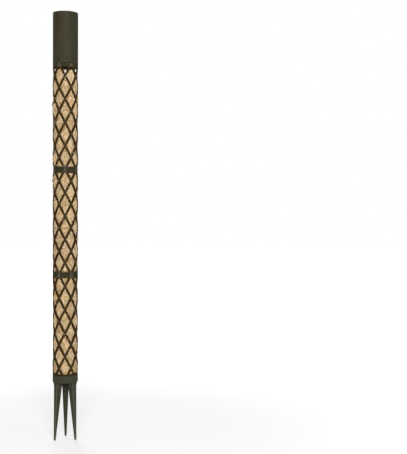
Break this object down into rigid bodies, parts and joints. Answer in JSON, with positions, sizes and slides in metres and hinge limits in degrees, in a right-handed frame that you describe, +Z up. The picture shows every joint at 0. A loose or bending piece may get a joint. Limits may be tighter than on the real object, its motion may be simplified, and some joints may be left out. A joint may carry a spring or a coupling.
{
  "type": "moss pole",
  "caption": "Modular moss pole for climbing pot plants: lattice tubes packed with sphagnum moss on a pronged ground stake, with a plug-in watering cup on top.",
  "frame": {"origin": "on the pole's axis at the soil line, level with the underside of the stake's collar", "axes": "+Z up along the pole, -Y to the front that the picture shows, +X to the right seen from the front"},
  "size_m": [0.048, 0.048, 0.816],
  "materials": {
    "dark_plastic": "satin",
    "sphagnum": "matte",
    "clear_film": "satin"
  },
  "bodies": {
    "base": {"stake": "dark_plastic"},
    "lower_module": {"tube_lower": "dark_plastic", "moss_lower": "sphagnum", "guard_lower": "clear_film"},
    "middle_module": {"tube_middle": "dark_plastic", "moss_middle": "sphagnum", "guard_middle": "clear_film"},
    "upper_module": {"tube_upper": "dark_plastic", "moss_upper": "sphagnum", "guard_upper": "clear_film"},
    "watering_aid": {"watering_cup": "dark_plastic"}
  },
  "joints": [
    {"name": "lower_module_lift", "type": "slide", "parent": "base", "child": "lower_module", "axis": [0, 0, 1], "range_m": [0, 0.04]},
    {"name": "middle_module_lift", "type": "slide", "parent": "lower_module", "child": "middle_module", "axis": [0, 0, 1], "range_m": [0, 0.04]},
    {"name": "upper_module_lift", "type": "slide", "parent": "middle_module", "child": "upper_module", "axis": [0, 0, 1], "range_m": [0, 0.04]},
    {"name": "watering_aid_lift", "type": "slide", "parent": "upper_module", "child": "watering_aid", "axis": [0, 0, 1], "range_m": [0, 0.04]}
  ]
}
